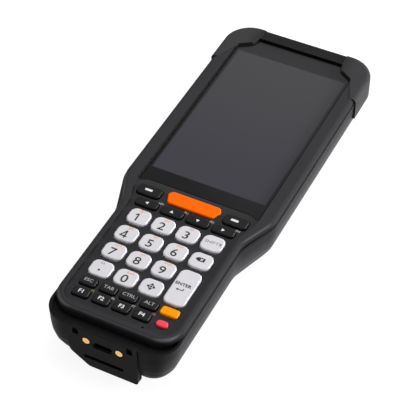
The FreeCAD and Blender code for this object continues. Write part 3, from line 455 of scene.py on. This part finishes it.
def tintedAcrylic(name, settings):
    # cast acrylic, dyed deep red, so that the scan engine shows through it only faintly
    material, tree = newMaterial(name)
    place = addNode(tree, "ShaderNodeTexCoord").outputs["Object"]
    smear = addNode(tree, "ShaderNodeTexNoise", {},
                    {"Vector": place, "Scale": 1 / (settings["smear"] * mm), "Detail": 2.0})
    spread = addNode(tree, "ShaderNodeMapRange", {},
                     {"Value": smear.outputs["Fac"], "To Min": settings["smooth"], "To Max": settings["rough"]})
    shader = addNode(tree, "ShaderNodeBsdfPrincipled", {},
                     {"Base Color": settings["base"], "Roughness": spread.outputs[0], "IOR": settings["ior"],
                      "Transmission Weight": settings["clearness"]})
    addNode(tree, "ShaderNodeOutputMaterial", {}, {"Surface": shader.outputs[0]})
    return material


dress(tintedAcrylic("tintedAcrylic", acrylicSettings), "scan_window")
print("metals and inner parts finished")

inkColours = {"blackInk": "#141416", "slateInk": "#303339", "orangeInk": "#f8a868", "greyInk": "#77767a",
              "whiteInk": "#e9e9ea", "paleInk": "#b9b9bc", "dullInk": "#a3a3a6", "foilInk": "#c9cace",
              "amberInk": "#e08a1c", "greenInk": "#8f9a58", "rustInk": "#b5683a"}
inkSettings = {"wear": 0.5, "thinned": 0.86, "roughness": 0.5, "ior": 1.5, "level": 0.3}


def padPrintedInk(name, hexValue):
    # pad-printed two-part ink: a thin flat film, duller than the lacquer, with a slightly uneven tone
    material, tree = newMaterial(name)
    place = addNode(tree, "ShaderNodeTexCoord").outputs["Object"]
    wear = addNode(tree, "ShaderNodeTexNoise", {},
                   {"Vector": place, "Scale": 1 / (inkSettings["wear"] * mm), "Detail": 2.0})
    thin = [v * inkSettings["thinned"] for v in colour(hexValue)[:3]] + [1.0]
    tone = addNode(tree, "ShaderNodeMix", {"data_type": "RGBA"}, {0: wear.outputs["Fac"], 6: hexValue, 7: thin})
    shader = addNode(tree, "ShaderNodeBsdfPrincipled", {},
                     {"Base Color": tone.outputs[2], "Roughness": inkSettings["roughness"],
                      "IOR": inkSettings["ior"], "Specular IOR Level": inkSettings["level"]})
    addNode(tree, "ShaderNodeOutputMaterial", {}, {"Surface": shader.outputs[0]})
    return material


inks = {name: padPrintedInk(name, hexValue) for name, hexValue in inkColours.items()}


def keyTop(node):  # the middle of a key's upper face
    low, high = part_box(node)
    return Vector(((low.x + high.x) / 2, (low.y + high.y) / 2, high.z))


def shift(x, y, z=0.0):
    return Vector((x * mm, y * mm, z * mm))


def finishPrint(piece, name, ink, body):
    piece.name = name
    piece.data.name = name
    piece.data.materials.clear()
    piece.data.materials.append(inks[ink])
    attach(piece, body)


# textFilm is in the font's own unit and the other lengths in millimetres; a triangle cut from a circle of
# diameter 1 is 0.866 wide and 0.75 high
filmSettings = {"textFilm": 0.004, "textCurve": 3, "markFilm": 0.03, "filmStep": 0.004, "rounding": 0.16,
                "roundingSteps": 3, "dotCorners": 20, "pointWidth": 0.866, "pointHeight": 0.75}


def printWord(name, text, ink, height, stretch, place, body, weight=0.0, measure=None):
    # height in metres of the text as drawn, or of the font's own unit where measure is 1; stretch widens it
    bpy.ops.object.select_all(action="DESELECT")
    bpy.ops.object.text_add()
    word = bpy.context.object
    word.data.body = text
    word.data.resolution_u = filmSettings["textCurve"]
    word.data.extrude = filmSettings["textFilm"]
    word.data.offset = weight
    bpy.ops.object.convert(target="MESH")
    word = bpy.context.object
    corners = [Vector(c) for c in word.bound_box]
    low = Vector([min(c[i] for c in corners) for i in range(3)])
    high = Vector([max(c[i] for c in corners) for i in range(3)])
    scale = height / (measure or high.y - low.y)
    middle = (low + high) / 2
    word.data.transform(Matrix.Translation(-Vector((middle.x, middle.y, low.z))))
    word.data.transform(Matrix.Diagonal((scale * stretch, scale, scale, 1)))
    word.data.transform(Matrix.Translation(place))
    finishPrint(word, name, ink, body)


def drawShape(kind, x, y, width, height, angle, film):
    bpy.ops.object.select_all(action="DESELECT")
    size, lift = (width, height), 0
    if kind == "bar":
        bpy.ops.mesh.primitive_plane_add(size=1.0)
    elif kind == "point":
        bpy.ops.mesh.primitive_circle_add(vertices=3, radius=0.5, fill_type="NGON")
        size = (width / filmSettings["pointWidth"], height / filmSettings["pointHeight"])
        lift = -height / 6  # puts the middle of its height at its place
    else:
        bpy.ops.mesh.primitive_circle_add(vertices=filmSettings["dotCorners"], radius=0.5, fill_type="NGON")
    shape = bpy.context.object
    shape.data.transform(Matrix.Diagonal((size[0] * mm, size[1] * mm, 1, 1)))
    bpy.ops.object.mode_set(mode="EDIT")
    if kind != "dot":
        bpy.ops.mesh.bevel(offset=min(width, height) * filmSettings["rounding"] * mm,
                           segments=filmSettings["roundingSteps"], affect="VERTICES")
        bpy.ops.mesh.select_all(action="SELECT")
    bpy.ops.mesh.extrude_region_move(TRANSFORM_OT_translate={"value": (0, 0, film)})
    bpy.ops.mesh.select_all(action="SELECT")
    bpy.ops.mesh.normals_make_consistent(inside=False)
    bpy.ops.object.mode_set(mode="OBJECT")
    shape.data.transform(Matrix.Translation((0, lift * mm, 0)))
    shape.data.transform(Matrix.Rotation(math.radians(angle), 4, "Z"))
    shape.data.transform(Matrix.Translation(shift(x, y)))
    return shape


def printMark(name, shapes, ink, place, body):
    # shapes are bars, points and dots: kind, x, y, width, height and angle, in millimetres and degrees;
    # later ones stand a hair higher, so that none shares a face
    made = [drawShape(*shape, (filmSettings["markFilm"] + filmSettings["filmStep"] * index) * mm)
            for index, shape in enumerate(shapes)]
    for shape in made:
        shape.select_set(True)
    bpy.context.view_layer.objects.active = made[0]
    if len(made) > 1:
        bpy.ops.object.join()
    mark = bpy.context.object
    mark.data.transform(Matrix.Translation(place))
    finishPrint(mark, name, ink, body)


printSettings = {"digitHeight": 4.2, "digitStretch": 1.1, "digitPlace": (-0.3, -0.75), "digitWeight": 0.004,
                 "letterSize": 1.75, "letterPlace": (0.4, 3.1), "letterWeight": 0.015,
                 "wordHeight": 1.6, "wordStretch": 1.1}
# strokes of the 1 and the 4, which the font draws too closed to read at this size
drawnDigits = {"1": [("bar", -0.15, 0, 0.62, 4.2, 0), ("bar", -0.72, 1.62, 0.56, 1.6, -52)],
               "4": [("bar", 0.2, 0, 0.6, 4.2, 0), ("bar", -0.5, -1.0, 3.3, 0.56, 0),
                     ("bar", -0.82, 0.55, 0.56, 3.75, -32)]}
letters = {"1": "@ /", "2": "abc", "3": "def", "4": "ghi", "5": "jkl", "6": "mno", "7": "pqrs", "8": "tuv",
           "9": "wxyz"}
for digit in "0123456789":
    node = "key_" + digit
    top = keyTop(node)
    place = top + shift(*printSettings["digitPlace"])
    if digit in drawnDigits:
        printMark("digit" + digit, drawnDigits[digit], "blackInk", place, node)
    else:
        printWord("digit" + digit, digit, "blackInk", printSettings["digitHeight"] * mm,
                  printSettings["digitStretch"], place, node, printSettings["digitWeight"])
    if digit in letters:
        printWord("letters" + digit, letters[digit], "orangeInk", printSettings["letterSize"] * mm, 1.0,
                  top + shift(*printSettings["letterPlace"]), node, printSettings["letterWeight"],
                  measure=1.0)

# legends of the white keys: name, key, place from its middle, ink, and the shapes or a word with its weight
whiteLegends = [
    ("spaceMark", "key_0", (0.6, 3.0), "orangeInk",
     [("bar", 0, -0.35, 2.6, 0.32, 0), ("bar", -1.15, 0, 0.32, 0.8, 0), ("bar", 1.15, 0, 0.32, 0.8, 0)]),
    ("pointMark", "key_point", (-0.4, -1.2), "blackInk", [("dot", 0, 0, 1.0, 1.0, 0)]),
    ("pointSecondMark", "key_point", (-0.6, 2.7), "greyInk",
     [("bar", -0.5, 0, 0.35, 0.9, 20), ("bar", 0.5, 0, 0.35, 0.9, 20)]),
    ("fourWayMark", "key_star", (-0.1, 0.2), "slateInk",
     [("point", 0, 1.4, 1.8, 1.3, 0), ("point", 0, -1.4, 1.8, 1.3, 180), ("point", 1.4, 0, 1.8, 1.3, -90),
      ("point", -1.4, 0, 1.8, 1.3, 90), ("dot", 0, 0, 1.0, 1.0, 0)]),
    ("shiftWord", "key_shift", (-0.5, 0.4), "greyInk", ("SHIFT", 0.0)),
    ("shiftArrow", "key_shift", (3.4, 0.5), "greyInk",
     [("point", 0, 0.45, 1.3, 0.9, 0), ("bar", 0, -0.35, 0.5, 0.8, 0)]),
    ("backspaceMark", "key_backspace", (-0.4, 0.5), "blackInk",
     [("bar", 0.5, 0, 3.0, 2.1, 0), ("point", -1.6, 0, 2.1, 1.2, 90)]),
    ("backspaceCross", "key_backspace", (0.2, 0.5, 0.03), "whiteInk",
     [("bar", 0, 0, 0.32, 1.5, 45), ("bar", 0, 0, 0.32, 1.5, -45)]),
    ("enterWord", "key_enter", (-0.3, 1.5), "slateInk", ("ENTER", 0.03)),
    ("enterArrow", "key_enter", (-0.5, -1.6), "slateInk",
     [("bar", 0.3, 0, 2.2, 0.36, 0), ("point", -1.3, 0, 1.3, 1.0, 90), ("bar", 1.25, 0.45, 0.36, 1.1, 0)])]
for name, node, offset, ink, legend in whiteLegends:
    place = keyTop(node) + shift(*offset)
    if isinstance(legend, list):
        printMark(name, legend, ink, place, node)
    else:
        word, weight = legend
        printWord(name, word, ink, printSettings["wordHeight"] * mm, printSettings["wordStretch"], place, node,
                  weight)

blackSettings = {"wordHeight": 1.615, "wordStretch": 1.1, "wordWeight": 0.015, "wordPlace": (-0.1, 0.4),
                 "functionHeight": 1.9, "functionStretch": 1.05, "functionWeight": 0.02, "functionPlace": (-0.1, 0.3),
                 "dash": (3.4, 1.2), "dashPlaces": {"left": (-0.4, 0), "right": (-0.6, 0)},
                 "arrow": (1.7, 1.445), "arrowPlace": (-0.1, 0)}
for name in ("esc", "tab", "ctrl", "alt"):
    node = "key_" + name
    printWord(name + "Word", name.upper(), "dullInk", blackSettings["wordHeight"] * mm, blackSettings["wordStretch"],
              keyTop(node) + shift(*blackSettings["wordPlace"]), node, blackSettings["wordWeight"])
for name in ("f1", "f2", "f3", "f4"):
    node = "key_" + name
    printWord(name + "Word", name.upper(), "whiteInk", blackSettings["functionHeight"] * mm,
              blackSettings["functionStretch"], keyTop(node) + shift(*blackSettings["functionPlace"]), node,
              blackSettings["functionWeight"])
for side, offset in blackSettings["dashPlaces"].items():
    node = "key_soft_" + side
    printMark("softDash" + side.capitalize(), [("bar", 0, 0, *blackSettings["dash"], 0)], "whiteInk",
              keyTop(node) + shift(*offset), node)
for name, angle in (("left", 90), ("up", 0), ("down", 180), ("right", -90)):
    node = "key_" + name
    printMark(name + "Arrow", [("point", 0, 0, *blackSettings["arrow"], angle)], "whiteInk",
              keyTop(node) + shift(*blackSettings["arrowPlace"]), node)
print("keys printed")

# second functions, printed small on the deck beside their keys
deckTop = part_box("cover_glass")[1].z
deckSettings = {"height": 1.15, "weight": 0.02, "back": 0.4, "beyond": 0.25}
deckWords = {"key_f1": ("F5", "greenInk"), "key_f2": ("F6", "paleInk"), "key_f3": ("F7", "paleInk"),
             "key_f4": ("F8", "rustInk"), "key_left": ("HM", "paleInk"), "key_up": ("PU", "paleInk"),
             "key_down": ("PD", "paleInk"), "key_right": ("EN", "paleInk")}
for node, (text, ink) in deckWords.items():
    low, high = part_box(node)
    place = Vector((high.x - deckSettings["back"] * mm, high.y + deckSettings["beyond"] * mm, deckTop))
    printWord("deckWord" + text, text, ink, deckSettings["height"] * mm, 1.0, place, "terminal",
              deckSettings["weight"])
print("deck printed")

# a row of contacts that show on both faces of the USB socket's tongue
usbSettings = {"pads": 12, "pitch": 0.5, "width": 0.26, "length": 3.6, "thickness": 0.76, "bevel": 0.05,
               "setback": 1.5}
usbLow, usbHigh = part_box("usb_socket")
usbMiddle = (usbLow + usbHigh) / 2
bpy.ops.object.select_all(action="DESELECT")
bpy.ops.mesh.primitive_cube_add(size=1.0)
pads = bpy.context.object
pads.name = "usbContactPads"
pads.data.transform(Matrix.Diagonal((usbSettings["width"] * mm, usbSettings["length"] * mm,
                                     usbSettings["thickness"] * mm, 1)))
bpy.ops.object.mode_set(mode="EDIT")
bpy.ops.mesh.bevel(offset=usbSettings["bevel"] * mm, segments=2)
bpy.ops.object.mode_set(mode="OBJECT")
firstPad = -(usbSettings["pads"] - 1) / 2 * usbSettings["pitch"] * mm
padMiddle = usbLow.y + (usbSettings["setback"] + usbSettings["length"] / 2) * mm
pads.data.transform(Matrix.Translation(Vector((firstPad, padMiddle, usbMiddle.z))))
row = pads.modifiers.new("row", "ARRAY")
row.count = usbSettings["pads"]
row.use_relative_offset = False
row.use_constant_offset = True
row.constant_offset_displace = (usbSettings["pitch"] * mm, 0, 0)
bpy.ops.object.modifier_apply(modifier="row")
pads.data.materials.append(metals["goldPlatedContact"])
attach(pads, "terminal")


def selectFaces(piece, test):  # leaves the piece in edit mode with these faces selected
    bpy.ops.object.mode_set(mode="EDIT")
    bpy.ops.mesh.select_mode(type="FACE")
    bpy.ops.mesh.select_all(action="DESELECT")
    bpy.ops.object.mode_set(mode="OBJECT")
    for face in piece.data.polygons:
        face.select = test(face)
    bpy.ops.object.mode_set(mode="EDIT")


# lens and light of the scan engine, behind the window
opticSettings = {"lens": {"x": -4.5, "radius": 3.0, "hollow": 0.8}, "light": {"x": 4.5, "radius": 2.4, "hollow": 0.5},
                 "depth": 1.3, "wall": 0.5, "bulge": 0.25, "facing": 0.9}
engineLow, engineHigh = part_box("scan_engine")


def ringOnEngine(name, settings, finish):
    # a short barrel that stands on the engine's face, with its front inset and pushed back round the glass
    bpy.ops.object.select_all(action="DESELECT")
    bpy.ops.mesh.primitive_cylinder_add(vertices=32, radius=settings["radius"] * mm,
                                        depth=opticSettings["depth"] * mm, rotation=(math.pi / 2, 0, 0))
    barrel = bpy.context.object
    bpy.ops.object.transform_apply(location=False, rotation=True, scale=False)
    selectFaces(barrel, lambda face: face.normal.y > opticSettings["facing"])
    bpy.ops.mesh.inset(thickness=opticSettings["wall"] * mm)
    bpy.ops.transform.translate(value=(0, -settings["hollow"] * mm, 0))
    bpy.ops.mesh.inset(thickness=opticSettings["wall"] * mm)
    bpy.ops.transform.translate(value=(0, opticSettings["bulge"] * settings["hollow"] * mm, 0))
    bpy.ops.object.mode_set(mode="OBJECT")
    barrel.data.transform(Matrix.Translation(Vector((settings["x"] * mm,
                                                     engineHigh.y + opticSettings["depth"] / 2 * mm,
                                                     (engineLow.z + engineHigh.z) / 2))))
    barrel.name = name
    barrel.data.materials.append(finish)
    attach(barrel, "terminal")


ringOnEngine("scanLensBarrel", opticSettings["lens"], metals["blackenedSteel"])
ringOnEngine("scanLightBarrel", opticSettings["light"], metals["nickelledSteel"])
print("small metal parts made")

# foil label on the battery's outer face, plain but for a band and its two poles, each on top of the last
labelSettings = {"side": 9, "ends": 22, "shift": -2, "band": 6, "bandPlace": 22, "poles": 9, "polePlace": 30,
                 "stroke": (3.2, 0.7), "labelDrop": -0.04, "bandDrop": -0.08, "poleDrop": -0.1}
batteryLow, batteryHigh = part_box("battery_pack")
batteryFace = Vector(((batteryLow.x + batteryHigh.x) / 2, (batteryLow.y + batteryHigh.y) / 2, batteryLow.z))
batteryWidth, batteryLength = (batteryHigh - batteryLow).xy / mm
labelWidth, labelLength = batteryWidth - labelSettings["side"], batteryLength - labelSettings["ends"]
poles, (strokeLength, strokeWidth) = labelSettings["poles"], labelSettings["stroke"]
bandPlace = batteryFace + shift(0, batteryLength / 2 - labelSettings["bandPlace"], labelSettings["bandDrop"])
polePlace = batteryFace + shift(0, batteryLength / 2 - labelSettings["polePlace"], labelSettings["poleDrop"])
printMark("batteryLabel", [("bar", 0, 0, labelWidth, labelLength, 0)], "foilInk",
          batteryFace + shift(0, labelSettings["shift"], labelSettings["labelDrop"]), "terminal")
printMark("batteryBand", [("bar", 0, 0, labelWidth, labelSettings["band"], 0)], "amberInk",
          bandPlace, "terminal")
printMark("batteryPlus", [("bar", -poles, 0, strokeLength, strokeWidth, 0),
                          ("bar", -poles, 0, strokeWidth, strokeLength, 0)], "blackInk",
          polePlace, "terminal")
printMark("batteryMinus", [("bar", poles, 0, strokeLength, strokeWidth, 0)], "blackInk",
          polePlace, "terminal")
print("battery labelled")

# six-lobed drive in each screw head, at the bottom of its well in the back; the lobes' angles are in degrees
driveSettings = {"radius": 1.5, "thickness": 0.3, "collar": 0.5, "depth": 0.2, "lobe": 0.72, "vertices": 24,
                 "facing": 0.9, "rim": 0.4, "lobeStep": 60, "lobeFrom": 15, "lobeTo": 45,
                 "headSpan": 4.0, "headLevel": 0.01}


def headPlaces(node):
    # the middle of each separate head's lower face
    lowest = min(vertex.co.z for vertex in node.data.vertices)
    places = []
    for vertex in node.data.vertices:
        if vertex.co.z > lowest + driveSettings["headLevel"] * mm:
            continue
        group = next((g for g in places if (g[0] - vertex.co).length < driveSettings["headSpan"] * mm), None)
        if group:
            group.append(vertex.co.copy())
        else:
            places.append([vertex.co.copy()])
    return [(Vector([min(v[i] for v in group) for i in range(3)])
             + Vector([max(v[i] for v in group) for i in range(3)])) / 2 for group in places]


def screwDrive():
    # a thin washer face whose middle is inset, pushed in and drawn into six lobes
    bpy.ops.object.select_all(action="DESELECT")
    bpy.ops.mesh.primitive_cylinder_add(vertices=driveSettings["vertices"], radius=driveSettings["radius"] * mm,
                                        depth=driveSettings["thickness"] * mm)
    drive = bpy.context.object
    drive.data.materials.append(metals["blackenedSteel"])
    selectFaces(drive, lambda face: face.normal.z < -driveSettings["facing"])
    bpy.ops.mesh.inset(thickness=driveSettings["collar"] * mm)
    bpy.ops.mesh.extrude_region_move(TRANSFORM_OT_translate={"value": (0, 0, driveSettings["depth"] * mm)})
    bpy.ops.mesh.select_mode(type="VERT")
    bpy.ops.mesh.select_all(action="DESELECT")
    bpy.ops.object.mode_set(mode="OBJECT")
    inner = (driveSettings["radius"] - driveSettings["rim"]) * mm
    for vertex in drive.data.vertices:
        turn = math.degrees(math.atan2(vertex.co.y, vertex.co.x)) % driveSettings["lobeStep"]
        vertex.select = vertex.co.xy.length < inner and driveSettings["lobeFrom"] < turn < driveSettings["lobeTo"]
    bpy.ops.object.mode_set(mode="EDIT")
    bpy.ops.transform.resize(value=(driveSettings["lobe"], driveSettings["lobe"], 1))
    bpy.ops.object.mode_set(mode="OBJECT")
    return drive


firstDrive = screwDrive()
for index, place in enumerate(headPlaces(nodes["housing_screws"])):
    drive = firstDrive.copy()
    drive.data = firstDrive.data.copy()
    bpy.context.collection.objects.link(drive)
    drive.name = drive.data.name = "screwDrive" + str(index + 1)
    drive.data.transform(Matrix.Translation(place - shift(0, 0, driveSettings["thickness"] / 2)))
    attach(drive, "terminal")
bpy.data.objects.remove(firstDrive)
print("screw drives made")

# the floor lies a hair below the back, so that they share no plane
studioSettings = {"floorColour": "#7c7c7e", "floorSize": 8.0, "floorDrop": 0.05, "floorLift": 0.90,
                  "frontFill": 0.09, "backFill": 1.0,
                  "topLamp": {"place": (0.05, 0.24, 0.97), "size": 0.5, "power": 4.2},
                  "sideLamp": {"place": (0.86, 0.48, 0.15), "size": 0.3, "power": 18.0}}


def seenDirectly(tree):
    # 1 for camera, glossy and transmission rays, which see the white surroundings, and 0 for those that light things
    ray = addNode(tree, "ShaderNodeLightPath").outputs
    first = addNode(tree, "ShaderNodeMath", {"operation": "MAXIMUM"},
                    {0: ray["Is Camera Ray"], 1: ray["Is Glossy Ray"]})
    return addNode(tree, "ShaderNodeMath", {"operation": "MAXIMUM"},
                   {0: first.outputs[0], 1: ray["Is Transmission Ray"]}).outputs[0]


bpy.ops.object.select_all(action="DESELECT")
bpy.ops.mesh.primitive_plane_add(size=studioSettings["floorSize"])
floor = bpy.context.object
floor.name = "paleFloor"
floor.data.transform(Matrix.Translation(shift(0, 0, -studioSettings["floorDrop"])))
floorMaterial, tree = newMaterial("mattPaperSweep")
matt = addNode(tree, "ShaderNodeBsdfDiffuse", {}, {"Color": studioSettings["floorColour"]})
strength = addNode(tree, "ShaderNodeMath", {"operation": "MULTIPLY"},
                   {0: seenDirectly(tree), 1: studioSettings["floorLift"]})
glow = addNode(tree, "ShaderNodeEmission", {}, {"Strength": strength.outputs[0]})
shader = addNode(tree, "ShaderNodeAddShader", {}, {0: matt.outputs[0], 1: glow.outputs[0]})
addNode(tree, "ShaderNodeOutputMaterial", {}, {"Surface": shader.outputs[0]})
floor.data.materials.append(floorMaterial)

world = bpy.data.worlds.new("paleStudio")
bpy.context.scene.world = world
world.use_nodes = True
tree = world.node_tree
tree.nodes.clear()
place = addNode(tree, "ShaderNodeTexCoord").outputs["Generated"]
heading = addNode(tree, "ShaderNodeSeparateXYZ", {}, {"Vector": place})
fill = addNode(tree, "ShaderNodeMapRange", {},
               {"Value": heading.outputs["Y"], "From Min": -1.0, "From Max": 1.0,
                "To Min": studioSettings["frontFill"], "To Max": studioSettings["backFill"]})
level = addNode(tree, "ShaderNodeMath", {"operation": "MAXIMUM"}, {0: seenDirectly(tree), 1: fill.outputs[0]})
sky = addNode(tree, "ShaderNodeBackground", {}, {"Strength": level.outputs[0]})
addNode(tree, "ShaderNodeOutputWorld", {}, {"Surface": sky.outputs[0]})

for name in ("topLamp", "sideLamp"):
    settings = studioSettings[name]
    bpy.ops.object.light_add(type="AREA", location=settings["place"])
    lamp = bpy.context.object
    lamp.name = name
    lamp.data.size = settings["size"]
    lamp.data.energy = settings["power"]
    lamp.rotation_mode = "QUATERNION"
    lamp.rotation_quaternion = (-Vector(settings["place"])).to_track_quat("-Z", "Y")
bpy.context.scene.view_settings.view_transform = "Standard"
print("studio ready")
